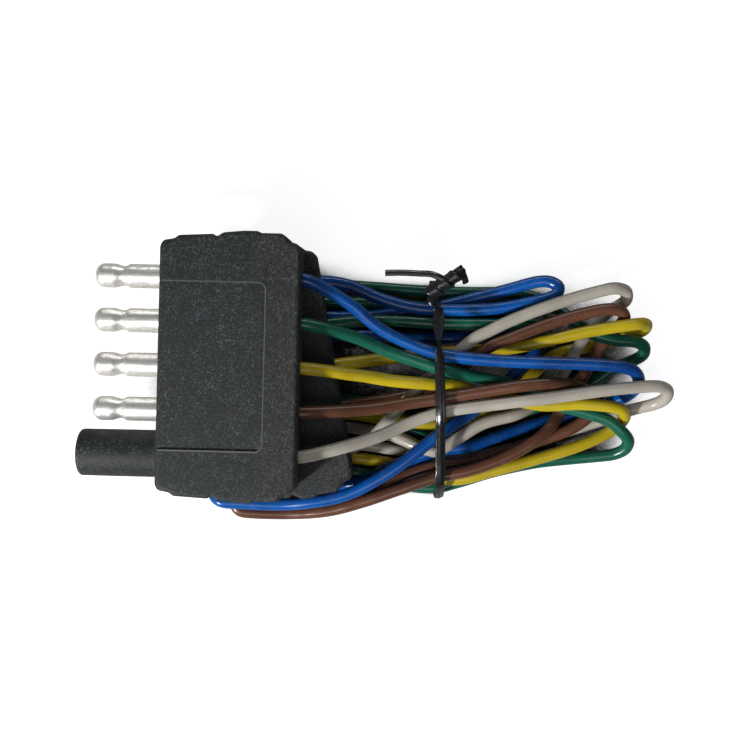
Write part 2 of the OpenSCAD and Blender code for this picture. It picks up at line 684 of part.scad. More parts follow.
upper_overmould();
upper_carrier();
upper_pin_blue();
upper_pin_green();
upper_pin_yellow();
upper_pin_brown();
upper_socket_white();
upper_lead_blue();
upper_lead_green();
upper_lead_yellow();
upper_lead_brown();
upper_lead_white();
upper_lead_cores();
lower_overmould();
lower_carrier();
lower_socket_blue();
lower_socket_green();
lower_socket_yellow();
lower_socket_brown();
lower_pin_white();
lower_lead_blue();
lower_lead_green();
lower_lead_yellow();
lower_lead_brown();
lower_lead_white();
lower_lead_cores();
hank_wire_blue();
hank_wire_green();
hank_wire_yellow();
hank_wire_brown();
hank_wire_white();
hank_core_blue();
hank_core_green();
hank_core_yellow();
hank_core_brown();
hank_core_white();
tie_ribbon();
tie_core();
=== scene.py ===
"""Looks of a five-way flat trailer harness: two moulded plugs, a hank of five wires and a twist tie.

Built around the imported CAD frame. Metres, +Z up, the rest plane is z = 0. Both plugs are built by the
same code in plug coordinates: +X runs back from the mating face, +Y is across towards blue, z = 0 is
the middle of the body. The wires follow the centre lines of the frame's copper cores.
"""

import json
import math

import bmesh
import bpy
import numpy as np
from mathutils import Matrix, Vector, noise


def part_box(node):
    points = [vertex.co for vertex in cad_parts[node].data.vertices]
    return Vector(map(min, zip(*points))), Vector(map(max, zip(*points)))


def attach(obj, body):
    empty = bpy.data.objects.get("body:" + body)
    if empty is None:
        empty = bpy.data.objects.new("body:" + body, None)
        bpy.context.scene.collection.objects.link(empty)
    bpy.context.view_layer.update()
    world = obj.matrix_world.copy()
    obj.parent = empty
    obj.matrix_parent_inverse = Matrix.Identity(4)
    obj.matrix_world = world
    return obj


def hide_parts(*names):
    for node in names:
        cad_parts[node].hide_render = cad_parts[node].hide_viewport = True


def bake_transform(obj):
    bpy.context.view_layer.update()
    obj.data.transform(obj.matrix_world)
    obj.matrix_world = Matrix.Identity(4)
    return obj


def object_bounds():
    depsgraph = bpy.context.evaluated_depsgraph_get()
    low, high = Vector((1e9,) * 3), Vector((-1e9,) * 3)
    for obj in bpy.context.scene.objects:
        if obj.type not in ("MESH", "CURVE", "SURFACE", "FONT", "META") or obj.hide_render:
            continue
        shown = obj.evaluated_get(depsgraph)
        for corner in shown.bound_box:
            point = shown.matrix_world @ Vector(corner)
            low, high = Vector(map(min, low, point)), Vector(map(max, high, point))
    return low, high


MM = 0.001
COLOURS = ("blue", "green", "yellow", "brown", "white")

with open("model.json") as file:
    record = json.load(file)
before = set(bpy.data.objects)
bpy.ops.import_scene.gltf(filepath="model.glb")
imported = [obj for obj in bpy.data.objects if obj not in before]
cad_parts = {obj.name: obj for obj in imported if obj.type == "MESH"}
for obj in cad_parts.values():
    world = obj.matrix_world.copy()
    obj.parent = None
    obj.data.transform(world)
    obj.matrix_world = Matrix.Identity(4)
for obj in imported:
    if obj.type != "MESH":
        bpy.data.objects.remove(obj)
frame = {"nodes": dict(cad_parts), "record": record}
cad_low, cad_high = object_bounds()


# ---------- reading the frame ----------

def mount(name):
    """The record's mount of that name."""
    return next(m for m in frame["record"]["mounts"] if m["name"] == name)


def node_array(name):
    """The vertices of a frame node, in metres."""
    return np.array([v.co for v in frame["nodes"][name].data.vertices], float)


class Plug:
    """Plug coordinates of one moulded body, and its sizes as the frame has them, in millimetres."""

    def __init__(self, name):
        face = mount(name + "_mating_face")
        pin_side = "upper_pin_yellow" if name == "upper" else "lower_socket_yellow"
        self.name = name
        self.back = -Vector(face["axis"]).normalized()
        self.up = Vector((0, 0, 1))
        self.across = self.up.cross(self.back)
        middle = node_array(pin_side) @ np.array(self.across)
        body_low, body_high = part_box(name + "_overmould")
        across_now = Vector(face["pos_m"]).dot(self.across)
        across_mid = float(middle.min() + middle.max()) / 2
        self.origin = Vector(face["pos_m"]) + self.across * (across_mid - across_now)
        self.origin.z = (body_low.z + body_high.z) / 2
        body = self.local(node_array(name + "_overmould"))
        self.length = float(body[:, 0].max())
        self.reach = float(-body[:, 0].min())
        self.thick = float(body[:, 2].max() - body[:, 2].min())
        self.half = float(body[:, 1].max())
        bare = "upper_pin_blue" if name == "upper" else "lower_pin_white"
        self.pin_out = float(-self.local(node_array(bare))[:, 0].min())
        self.pitch = (Vector(mount("upper_pin_blue_shank")["pos_m"])
                      - Vector(mount("upper_pin_green_shank")["pos_m"])).length / MM
        self.shrouds = (-2,) if name == "upper" else (2, 1, 0, -1)
        self.outer_face = 1 if name == "upper" else -1
        self.body = name + "_plug"

    def local(self, points):
        """Frame points in metres as plug coordinates in millimetres."""
        axes = np.array([self.back, self.across, self.up], float)
        return (np.asarray(points, float) - np.array(self.origin)) @ axes.T / MM

    def matrix(self):
        """From plug coordinates in millimetres to the frame in metres."""
        m = Matrix((self.back, self.across, self.up)).transposed().to_4x4()
        return Matrix.Translation(self.origin) @ m @ Matrix.Scale(MM, 4)


def merged(name):
    """Vertices of a node with doubles merged, and each one's neighbours."""
    mesh = frame["nodes"][name].data
    keys, points, index = {}, [], []
    for v in mesh.vertices:
        key = tuple(round(c / (MM * 0.001)) for c in v.co)
        if key not in keys:
            keys[key] = len(points)
            points.append(np.array(v.co, float))
        index.append(keys[key])
    near = [set() for _ in points]
    for p in mesh.polygons:
        ids = [index[v] for v in p.vertices]
        for a in ids:
            near[a].update(b for b in ids if b != a)
    return np.array(points), near


def connected(near):
    """Groups of joined vertices."""
    left, groups = set(range(len(near))), []
    while left:
        group, edge = set(), {min(left)}
        while edge:
            group |= edge
            edge = set().union(*(near[i] for i in edge)) - group
        groups.append(sorted(group))
        left -= group
    return groups


def centre_lines(name):
    """Centre line of each swept solid in a node, as the middles of its rings from one end to the other."""
    points, near = merged(name)
    lines = []
    for group in connected(near):
        ends = [i for i in group if len(near[i]) < 6]
        first = min(ends, key=lambda i: points[i][0])
        ring = {i for i in ends if np.linalg.norm(points[i] - points[first]) < 3 * MM}
        seen, line = set(ring), [points[sorted(ring)].mean(0)]
        while True:
            ring = set().union(*(near[i] for i in ring)) - seen
            if not ring:
                break
            seen |= ring
            line.append(points[sorted(ring)].mean(0))
        lines.append(np.array(line))
    return lines


# ---------- curves ----------

def length_along(path):
    """Length from the start of a path to each of its points."""
    return np.concatenate([[0], np.cumsum(np.linalg.norm(np.diff(path, axis=0), axis=1))])


def spline(path, step):
    """Centripetal spline through the points of a path, resampled at an even step."""
    pts = np.vstack([2 * path[0] - path[1], path, 2 * path[-1] - path[-2]])
    out = []
    for i in range(1, len(pts) - 2):
        p = pts[i - 1:i + 3]
        t = np.concatenate([[0], np.cumsum(np.sqrt(np.linalg.norm(np.diff(p, axis=0), axis=1)))])
        n = max(2, int(math.ceil(np.linalg.norm(p[2] - p[1]) / (step * 0.5))))
        u = np.linspace(t[1], t[2], n, endpoint=False)[:, None]
        a1 = ((t[1] - u) * p[0] + (u - t[0]) * p[1]) / (t[1] - t[0])
        a2 = ((t[2] - u) * p[1] + (u - t[1]) * p[2]) / (t[2] - t[1])
        a3 = ((t[3] - u) * p[2] + (u - t[2]) * p[3]) / (t[3] - t[2])
        b1 = ((t[2] - u) * a1 + (u - t[0]) * a2) / (t[2] - t[0])
        b2 = ((t[3] - u) * a2 + (u - t[1]) * a3) / (t[3] - t[1])
        out.append(((t[2] - u) * b1 + (u - t[1]) * b2) / (t[2] - t[1]))
    return resampled(np.vstack(out + [path[-1:]]), step)


def resampled(path, step):
    """The same path with points an even step apart."""
    s = length_along(path)
    n = max(2, int(round(s[-1] / step)) + 1)
    even = np.linspace(0, s[-1], n)
    return np.stack([np.interp(even, s, path[:, k]) for k in range(path.shape[1])], axis=1)


def tangents(path):
    """Unit direction of a path at each of its points."""
    t = np.gradient(path, axis=0)
    return t / np.linalg.norm(t, axis=1)[:, None]


def carried_normals(tans, start=(0, 0, 1)):
    """Normals carried along a path without twist."""
    n = np.array(start, float)
    if abs(tans[0] @ n) > 0.95:
        n = np.array((0, 1, 0), float)
    out = []
    for t in tans:
        n = n - (n @ t) * t
        n = n / np.linalg.norm(n)
        out.append(n)
    return np.array(out)


def bumpy(path, amount, size, seed):
    """Small smooth noise along a path, one value a point."""
    return np.array([noise.noise(Vector(p / size) + Vector((seed, 0, 0))) for p in path]) * amount


def smooth_step(t):
    """0 up to t = 0, 1 from t = 1, and a soft rise between them."""
    t = min(1.0, max(0.0, t))
    return t * t * (3 - 2 * t)


# ---------- meshes ----------

def mesh_object(name, verts, faces, smooth_angle=35):
    """A smooth-shaded object that stays sharp where its faces meet at more than smooth_angle degrees."""
    mesh = bpy.data.meshes.new(name)
    mesh.from_pydata([tuple(v) for v in verts], [], [tuple(f) for f in faces])
    mesh.validate()
    obj = bpy.data.objects.new(name, mesh)
    bpy.context.scene.collection.objects.link(obj)
    shade(obj, smooth_angle)
    return obj


def shade(obj, smooth_angle=35):
    mesh = obj.data
    mesh.polygons.foreach_set("use_smooth", [True] * len(mesh.polygons))
    mesh.set_sharp_from_angle(angle=math.radians(smooth_angle))
    mesh.update()


def swept(path, sections, norms, closed_ends=True):
    """Vertices and faces of a solid swept along a path; sections[i] is an (n, 2) array for ring i."""
    tans = tangents(path)
    sides = len(sections[0])
    verts = []
    for p, t, n, sec in zip(path, tans, norms, sections):
        b = np.cross(t, n)
        verts.extend(p + s[0] * n + s[1] * b for s in sec)
    faces = []
    for i in range(len(path) - 1):
        for k in range(sides):
            k2 = (k + 1) % sides
            faces.append((i * sides + k, i * sides + k2, (i + 1) * sides + k2, (i + 1) * sides + k))
    if closed_ends:
        faces.append(tuple(reversed(range(sides))))
        faces.append(tuple(range((len(path) - 1) * sides, len(path) * sides)))
    return verts, faces


def hollow(path, outer, inner, norms):
    """A tube with a wall: outer[i] and inner[i] are the two sections of ring i."""
    ov, of = swept(path, outer, norms, closed_ends=False)
    iv, inf = swept(path, inner, norms, closed_ends=False)
    n, base, last = len(outer[0]), len(ov), len(path) - 1
    faces = of + [tuple(base + i for i in reversed(f)) for f in inf]
    for k in range(n):
        k2 = (k + 1) % n
        faces.append((k2, k, base + k, base + k2))
        faces.append((last * n + k, last * n + k2, base + last * n + k2, base + last * n + k))
    return ov + iv, faces


def ring_of(radius, sides):
    """Round section."""
    a = np.arange(sides) * 2 * math.pi / sides
    return np.stack([np.cos(a), np.sin(a)], axis=1) * radius


def lathe(profile, sides, wobble=None):
    """Vertices and faces of a profile of (x, r) turned about X; a point with r = 0 closes the end."""
    verts, faces, rows = [], [], []
    for x, r in profile:
        if r < 1e-9:
            rows.append([len(verts)])
            verts.append((x, 0, 0))
            continue
        rows.append(list(range(len(verts), len(verts) + sides)))
        for k in range(sides):
            a = 2 * math.pi * k / sides
            rr = r if wobble is None else r + wobble(x, a, r)
            verts.append((x, rr * math.cos(a), rr * math.sin(a)))
    for a, b in zip(rows, rows[1:]):
        for k in range(sides):
            k2 = (k + 1) % sides
            if len(a) == 1:
                faces.append((a[0], b[k2], b[k]))
            elif len(b) == 1:
                faces.append((a[k], a[k2], b[0]))
            else:
                faces.append((a[k], a[k2], b[k2], b[k]))
    return verts, faces


def joined(parts):
    """One list of vertices and faces from several."""
    verts, faces = [], []
    for v, f in parts:
        base = len(verts)
        verts.extend(v)
        faces.extend(tuple(base + i for i in face) for face in f)
    return verts, faces


def fixed_normals(obj):
    """Turns every face outwards."""
    bm = bmesh.new()
    bm.from_mesh(obj.data)
    bmesh.ops.recalc_face_normals(bm, faces=bm.faces)
    bm.to_mesh(obj.data)
    bm.free()


def cut(obj, tool, operation="DIFFERENCE"):
    """Applies a boolean to obj and removes the tool."""
    fixed_normals(tool)
    mod = obj.modifiers.new("cut", "BOOLEAN")
    mod.object = tool
    mod.operation = operation
    mod.solver = "EXACT"
    bpy.context.view_layer.update()
    dg = bpy.context.evaluated_depsgraph_get()
    mesh = bpy.data.meshes.new_from_object(obj.evaluated_get(dg))
    old = obj.data
    obj.modifiers.clear()
    obj.data = mesh
    bpy.data.meshes.remove(old)
    bpy.data.objects.remove(tool)


def weighted(obj):
    """Shades by face area, so that the large flat faces stay flat."""
    mod = obj.modifiers.new("normals", "WEIGHTED_NORMAL")
    mod.keep_sharp = True


# ---------- materials ----------

class Nodes:
    """Short way to write a procedural material."""

    def __init__(self, name):
        self.mat = bpy.data.materials.new(name)
        self.mat.use_nodes = True
        self.tree = self.mat.node_tree
        self.bsdf = self.tree.nodes["Principled BSDF"]
        self.place = self.tree.nodes.new("ShaderNodeTexCoord").outputs["Object"]

    def add(self, kind, **values):
        node = self.tree.nodes.new(kind)
        for key, value in values.items():
            setattr(node, key, value)
        return node

    def link(self, out, into):
        self.tree.links.new(out, into)

    def set(self, **values):
        for key, value in values.items():
            self.bsdf.inputs[key.replace("_", " ")].default_value = value

    def noise(self, size_mm, detail=2.0, rough=0.5, stretch=(1, 1, 1)):
        """Noise with features about size_mm across."""
        scaled = self.add("ShaderNodeMapping")
        self.link(self.place, scaled.inputs["Vector"])
        scaled.inputs["Scale"].default_value = [s / (size_mm * MM) for s in stretch]
        tex = self.add("ShaderNodeTexNoise")
        tex.inputs["Scale"].default_value = 1
        tex.inputs["Detail"].default_value = detail
        tex.inputs["Roughness"].default_value = rough
        self.link(scaled.outputs[0], tex.inputs["Vector"])
        return tex.outputs["Fac"]

    def remap(self, value, low, high, to_low=0.0, to_high=1.0):
        node = self.add("ShaderNodeMapRange")
        self.link(value, node.inputs["Value"])
        for key, number in (("From Min", low), ("From Max", high), ("To Min", to_low), ("To Max", to_high)):
            node.inputs[key].default_value = number
        return node.outputs["Result"]

    def feed(self, slot, value):
        """Sets an input to a number or a colour, or links an output to it."""
        if isinstance(value, (int, float)):
            slot.default_value = value
        elif isinstance(value, tuple):
            slot.default_value = (*value, 1)
        else:
            self.link(value, slot)

    def math(self, operation, a, b):
        node = self.add("ShaderNodeMath", operation=operation)
        self.feed(node.inputs[0], a)
        self.feed(node.inputs[1], b)
        return node.outputs[0]

    def mix(self, factor, a, b):
        """Colour a where factor is 0 and b where it is 1; a and b are colours or outputs."""
        node = self.add("ShaderNodeMix", data_type="RGBA")
        self.feed(node.inputs["Factor"], factor)
        self.feed(node.inputs[6], a)
        self.feed(node.inputs[7], b)
        return node.outputs[2]

    def attribute(self, name):
        """A value kept on the mesh."""
        return self.add("ShaderNodeAttribute", attribute_name=name).outputs["Fac"]

    def bump(self, height, strength, distance_mm, normal=None):
        node = self.add("ShaderNodeBump")
        node.inputs["Strength"].default_value = strength
        node.inputs["Distance"].default_value = distance_mm * MM
        self.link(height, node.inputs["Height"])
        if normal is not None:
            self.link(normal, node.inputs["Normal"])
        return node.outputs["Normal"]

    def sharp_edges(self, radius_mm):
        """About 1 on sharp outer edges and 0 elsewhere."""
        soft = self.add("ShaderNodeBevel", samples=4)
        soft.inputs["Radius"].default_value = radius_mm * MM
        dot = self.add("ShaderNodeVectorMath", operation="DOT_PRODUCT")
        self.link(soft.outputs[0], dot.inputs[0])
        self.link(self.add("ShaderNodeNewGeometry").outputs["Normal"], dot.inputs[1])
        return self.remap(dot.outputs["Value"], 1.0, 0.85)

    def finish(self, colour, roughness, normal=None):
        """Joins the three outputs to the shader and gives back the material."""
        self.link(colour, self.bsdf.inputs["Base Color"])
        self.link(roughness, self.bsdf.inputs["Roughness"])
        if normal is not None:
            self.link(normal, self.bsdf.inputs["Normal"])
        return self.mat


def moulding_material():
    """Matte black moulding with a light speckle; coarser, slanting grain on the band behind the panel."""
    m = Nodes("black_moulding")
    cloud = m.noise(7, 3)
    grain = m.noise(0.3, 3, 0.75)
    speck = m.remap(m.noise(0.38, 3, 0.8), 0.52, 0.7)
    dim = m.remap(m.noise(3.5, 2), 0.3, 0.7, 0.35, 1.0)
    band = m.attribute("rear_band")
    slant = m.noise(0.7, 3, 0.7, stretch=(1.0, 0.6, 1))
    dark = m.mix(cloud, (0.0065, 0.0085, 0.01), (0.014, 0.0165, 0.018))
    rear = m.mix(m.remap(slant, 0.38, 0.62), (0.007, 0.0075, 0.008), (0.03, 0.03, 0.03))
    colour = m.mix(m.math("MULTIPLY", speck, dim), m.mix(band, dark, rear), (0.15, 0.156, 0.16))
    # pale sharp edges: partly wear, partly a painted highlight where the edges would catch the light
    colour = m.mix(m.math("MULTIPLY", m.sharp_edges(0.3), 0.3), colour, (0.08, 0.08, 0.08))
    # painted highlight: the ridge's faces are painted lighter, as if they caught the light
    colour = m.mix(m.math("MULTIPLY", m.attribute("ridge"), 0.8), colour, (0.1, 0.104, 0.108))
    rough = m.math("ADD", m.remap(grain, 0.3, 0.7, 0.42, 0.62), m.math("MULTIPLY", band, 0.06))
    normal = m.bump(grain, 0.8, 0.1)
    normal = m.bump(speck, 0.6, 0.08, normal)
    normal = m.bump(m.math("MULTIPLY", slant, band), 0.8, 0.2, normal)
    m.set(Specular_IOR_Level=0.32)
    return m.finish(colour, rough, normal)


def carrier_material():
    """Hard dark insert with moulding flow marks."""
    m = Nodes("carrier_plastic")
    flow = m.noise(3, 3, 0.6, stretch=(1, 0.2, 1))
    colour = m.mix(flow, (0.035, 0.035, 0.038), (0.07, 0.07, 0.075))
    return m.finish(colour, m.remap(flow, 0.3, 0.7, 0.4, 0.6), m.bump(m.noise(0.3), 0.2, 0.05))


def terminal_material():
    """Satin tin plate: bright, with scattered pits, faint drawing lines and dull stains."""
    m = Nodes("tinned_terminal")
    lines = m.noise(0.5, 3, 0.6, stretch=(0.12, 1, 1))
    stain = m.remap(m.noise(1.3, 3, 0.6), 0.5, 0.72)
    pits = m.remap(m.noise(0.33, 2, 0.6), 0.66, 0.72)
    colour = m.mix(stain, (0.92, 0.9, 0.86), (0.7, 0.67, 0.61))
    colour = m.mix(m.math("MULTIPLY", pits, 0.8), colour, (0.16, 0.14, 0.11))
    colour = m.mix(m.math("MULTIPLY", m.sharp_edges(0.2), 0.3), colour, (0.97, 0.96, 0.94))
    rough = m.math("ADD", m.remap(lines, 0.3, 0.7, 0.3, 0.44), m.math("MULTIPLY", stain, 0.12))
    normal = m.bump(lines, 0.08, 0.05)
    normal = m.bump(m.math("SUBTRACT", 1, pits), 0.4, 0.06, normal)
    normal = m.bump(m.noise(0.9, 2), 0.12, 0.12, normal)
    m.set(Metallic=0.8)
    return m.finish(colour, rough, normal)


def copper_material():
    """Copper strands: fine slanting lines and patches of tarnish."""
    m = Nodes("copper_core")
    strand = m.noise(0.25, 1, 0.5, stretch=(0.5, 1, 1))
    tarnish = m.remap(m.noise(2.5, 3), 0.45, 0.7)
    colour = m.mix(tarnish, (0.76, 0.42, 0.25), (0.42, 0.2, 0.12))
    m.set(Metallic=1.0)
    return m.finish(colour, m.remap(strand, 0.3, 0.7, 0.25, 0.45), m.bump(strand, 0.5, 0.1))


def pvc_material(colour_name, base, deep):
    """Glossy wire insulation: slightly uneven skin, dull rub marks and a trace of dust."""
    m = Nodes("pvc_" + colour_name)
    cloud = m.noise(11, 2)
    rub = m.remap(m.noise(3, 4, 0.65), 0.52, 0.76)
    skin = m.noise(2.4, 2, 0.5)
    colour = m.mix(m.remap(cloud, 0.35, 0.65), base, deep)
    pale = tuple(min(1.0, c * 0.9 + 0.06) for c in base)
    colour = m.mix(m.math("MULTIPLY", rub, 0.2), colour, pale)
    dust = m.remap(m.noise(0.5, 2, 0.7), 0.66, 0.78)
    colour = m.mix(m.math("MULTIPLY", dust, 0.14), colour, (0.3, 0.28, 0.25))
    rough = m.math("ADD", m.remap(skin, 0.3, 0.7, 0.17, 0.27), m.math("MULTIPLY", rub, 0.16))
    normal = m.bump(skin, 0.06, 0.12)
    normal = m.bump(m.noise(0.25, 2, 0.6), 0.035, 0.03, normal)
    m.set(Specular_IOR_Level=0.4, Subsurface_Weight=0.05, Subsurface_Scale=0.5 * MM)
    return m.finish(colour, rough, normal)


def tie_material():
    """Glossy black plastic ribbon, paler in patches along its edges."""
    m = Nodes("tie_plastic")
    streak = m.noise(0.9, 3, 0.6)
    # paler patches along the sharp edges of the ribbon
    pale_edge_patches = m.math("MULTIPLY", m.sharp_edges(0.12), m.remap(m.noise(0.8, 2), 0.4, 0.6))
    colour = m.mix(streak, (0.006, 0.006, 0.007), (0.016, 0.016, 0.018))
    colour = m.mix(m.math("MULTIPLY", pale_edge_patches, 0.18), colour, (0.12, 0.12, 0.12))
    normal = m.bump(m.noise(1.2, 2), 0.1, 0.08)
    return m.finish(colour, m.remap(streak, 0.3, 0.7, 0.16, 0.3), normal)


# A wire's colour, and the deeper one that its skin clouds into.
PVC = {
    "blue": ((0.002, 0.085, 0.35), (0.002, 0.042, 0.2)),
    "green": ((0.008, 0.115, 0.07), (0.005, 0.07, 0.045)),
    "yellow": ((0.52, 0.4, 0.012), (0.37, 0.28, 0.01)),
    "brown": ((0.125, 0.05, 0.028), (0.085, 0.034, 0.02)),
    "white": ((0.43, 0.395, 0.335), (0.33, 0.3, 0.255)),
}
MATERIALS = {
    "black_moulding": moulding_material(),
    "carrier_plastic": carrier_material(),
    "tinned_terminal": terminal_material(),
    "copper_core": copper_material(),
    "tie_plastic": tie_material(),
}
for colour_name, shades in PVC.items():
    MATERIALS["pvc_" + colour_name] = pvc_material(colour_name, *shades)


def dress(obj, slot):
    """Gives an object the one of the materials that bears that slot's name."""
    obj.data.materials.clear()
    obj.data.materials.append(MATERIALS[slot])
    return obj


# ---------- plug bodies ----------

LONG_BODY = 30        # the steps down the sides are drawn for a body of this length
EDGE_R = 0.9          # rounding round the top and bottom faces
CORNER_R = 1.0        # rounding of the body's corners, seen from above
PANEL_HALF = 17.6     # half width of the recessed panel
PANEL_BACK = 7.5      # rear face to the panel's end
PANEL_R = 1.5
PANEL_DEPTH = 0.35
RIDGE = 0.17          # half the width of the fine ridge round the panel
UPPER_FULLER = 0.4    # the upper moulding stands this much fuller at its sides
PARTING = 0.07        # parting line standing out round the middle of the body
ROOTED = 2.0          # how deep a shroud is rooted in the body
SHROUD_R = 5.05
SHROUD_FILLET = 0.3   # where it meets the front face
SHROUD_DRAFT = 0.04
SHROUD_LIP = 0.7      # rounding of its mouth
SOCKET_R = 3.3        # hole for a socket contact
SOCKET_DEPTH = 2.7    # how far behind the front face that hole ends
PIN_HOLE_R = 2.62     # hole for a bare pin
PIN_HOLE_DEPTH = 1.0
WIRE_R = 1.4
WIRE_GAP = 0.03       # between a lead and its hole
LEAD_HOLE_DEPTH = 10.0
LEAD_FLARE = 0.72     # the lead hole opens by this much at the rear face
TERMINAL_PLACES = (2, 1, 0, -1, -2)


def side_profile(plug):
    """(x, half width) down one side: two groups of soft steps, then the narrower rear lip."""
    d = plug.length - LONG_BODY
    h = plug.half + (UPPER_FULLER if plug.outer_face > 0 else 0)
    steps = [(0, h - 2.9), (0.8, h - 2.3), (3.1, h - 1.9), (3.9, h - 1.2), (11.3 + d / 2, h - 0.8),
             (12.0 + d / 2, h - 1.35), (12.7 + d / 2, h - 0.9), (13.4 + d / 2, h - 0.45), (17.7 + d, h),
             (20.8 + d, h), (21.3 + d, h - 0.4), (25.8 + d, h - 0.4), (27.1 + d, h - 1.3),
             (27.9 + d, h - 2.2), (28.7 + d, h - 2.4), (plug.length, h - 3)]
    xs, hs = zip(*steps)
    x = np.linspace(0, plug.length, 181)
    w = np.interp(x, xs, hs)
    kernel = np.hanning(9)[1:-1]
    padded = np.pad(w, 3, mode="edge")
    w = np.convolve(padded, kernel / kernel.sum(), mode="valid")
    for end in (x, plug.length - x):
        near = end < CORNER_R
        w[near] -= CORNER_R - np.sqrt(CORNER_R ** 2 - (CORNER_R - end[near]) ** 2)
    return x, w


def body_ring(plug, x, w, inset, z):
    """One closed loop round the body, every part pulled in by inset."""
    length = plug.length
    across = 41
    half_0, half_1 = w[0] - inset, w[-1] - inset
    xx = inset + x * (length - 2 * inset) / length
    loop = list(zip(xx, w - inset))
    loop += [(xx[-1], b) for b in np.linspace(half_1, -half_1, across)[1:-1]]
    loop += [(a, -b) for a, b in zip(xx[::-1], (w - inset)[::-1])]
    loop += [(xx[0], b) for b in np.linspace(-half_0, half_0, across)[1:-1]]
    return [(a, b, z) for a, b in loop]


def body_shell(plug):
    """The rounded slab: rings from the underside up, with draft and a fine parting line."""
    x, w = side_profile(plug)
    half = plug.thick / 2
    levels = []
    for k in range(7):
        a = math.pi / 2 * k / 6
        levels.append((half - EDGE_R * (1 - math.sin(a)), EDGE_R * (1 - math.cos(a))))
    levels = [(z, i + 0.12 * z / half) for z, i in levels]
    upper = [(0.16, PARTING * 0.3), (0.1, 0.0)]
    rings = sorted([(-z, i) for z, i in levels]) + [(-z, i) for z, i in upper]
    rings += [(z, i) for z, i in reversed(upper)] + sorted([(z, i) for z, i in levels])
    side = [(z, i + (0 if abs(z) < 0.12 else PARTING)) for z, i in rings]
    loops = [body_ring(plug, x, w, i, z) for z, i in side]
    n = len(loops[0])
    verts = [v for loop in loops for v in loop]
    faces = []
    for r in range(len(loops) - 1):
        for k in range(n):
            k2 = (k + 1) % n
            faces.append((r * n + k, (r + 1) * n + k, (r + 1) * n + k2, r * n + k2))
    faces.append(tuple(range(n)))
    faces.append(tuple(reversed(range((len(loops) - 1) * n, len(loops) * n))))
    obj = mesh_object(plug.name + "_overmould_body", verts, faces)
    fixed_normals(obj)
    return obj


def rounded_panel(x_end, half, r, steps=10):
    """Outline of the panel from beyond the front edge, rounded at its rear corners."""
    pts = [(-2.0, half)]
    for sign in (1, -1):
        angles = np.linspace(math.pi / 2, 0, steps) if sign == 1 else np.linspace(0, -math.pi / 2, steps)
        pts += [(x_end - r + r * math.cos(a), sign * (half - r) + r * math.sin(a)) for a in angles]
    pts.append((-2.0, -half))
    return pts


def prism(name, outline, z0, z1, inset=0.0):
    """A straight or tapering prism from an outline; the far end is inset by a share of the outline."""
    pts = np.array(outline)
    mid = np.array([pts[:, 0].min(), 0])
    far = mid + (pts - mid) * (1 - inset)
    n = len(pts)
    verts = [(p[0], p[1], z0) for p in pts] + [(p[0], p[1], z1) for p in far]
    faces = [(k, (k + 1) % n, n + (k + 1) % n, n + k) for k in range(n)]
    faces += [tuple(reversed(range(n))), tuple(range(n, 2 * n))]
    obj = mesh_object(name, verts, faces)
    fixed_normals(obj)
    return obj


def panel_ridge(plug):
    """A fine rounded ridge along the panel's edge, half sunk in the face."""
    x_end = plug.length - PANEL_BACK
    line = rounded_panel(x_end + 0.1, PANEL_HALF + 0.1, PANEL_R + 0.1)
    line[0] = (EDGE_R, line[0][1])
    line[-1] = (EDGE_R, line[-1][1])
    z = plug.outer_face * (plug.thick / 2 - 0.03)
    path = resampled(np.array([(a, b, z) for a, b in line], float), 0.4)
    norms = carried_normals(tangents(path))
    section = ring_of(1.0, 10) * np.array([RIDGE, 0.26])
    verts, faces = swept(path, [section] * len(path), norms)
    return mesh_object("panel_ridge", verts, faces)


def round_tool(name, profile, y):
    """A turned cutting tool from (x, radius) points, at a terminal position."""
    closed = [(profile[0][0], 0)] + profile + [(profile[-1][0], 0)]
    verts, faces = lathe(closed, 48)
    obj = mesh_object(name, [(v[0], v[1] + y, v[2]) for v in verts], faces)
    fixed_normals(obj)
    return obj


def shroud_solid(plug, y):
    """Round shroud with softened lip, rooted in the body with a small fillet."""
    tip = -plug.reach
    root_r = SHROUD_R + SHROUD_FILLET
    lip_r = SHROUD_R - SHROUD_DRAFT
    profile = [(ROOTED, 0), (ROOTED, root_r), (0.0, root_r)]
    for a in np.linspace(0, math.pi / 2, 5)[1:]:
        out = SHROUD_FILLET * (1 - math.sin(a))
        profile.append((-2 * SHROUD_FILLET * (1 - math.cos(a)), SHROUD_R + out))
    profile += [(tip / 2, SHROUD_R), (tip + SHROUD_LIP + 0.1, lip_r)]
    for a in np.linspace(0, math.pi / 2, 6)[1:]:
        profile.append((tip + SHROUD_LIP * (1 - math.sin(a)), lip_r - SHROUD_LIP * (1 - math.cos(a))))
    profile.append((tip, 0))
    verts, faces = lathe(profile, 72)
    return mesh_object("shroud", [(v[0], v[1] + y, v[2]) for v in verts], faces)


def terminal_hole(plug, shrouded):
    """Profile of the hole for one terminal, with its mouth flared."""
    if shrouded:
        mouth = -plug.reach
        return [(mouth - 0.3, SOCKET_R + 0.9), (mouth + 0.6, SOCKET_R), (SOCKET_DEPTH, SOCKET_R)]
    return [(-0.3, PIN_HOLE_R + 0.55), (0.25, PIN_HOLE_R), (PIN_HOLE_DEPTH, PIN_HOLE_R)]


def lead_hole(plug):
    """Profile of the hole for one lead, flared where it leaves the rear face."""
    back = plug.length
    wire_r = WIRE_R + WIRE_GAP
    return [(back - LEAD_HOLE_DEPTH, wire_r), (back - 1.2, wire_r), (back + 0.3, wire_r + LEAD_FLARE)]


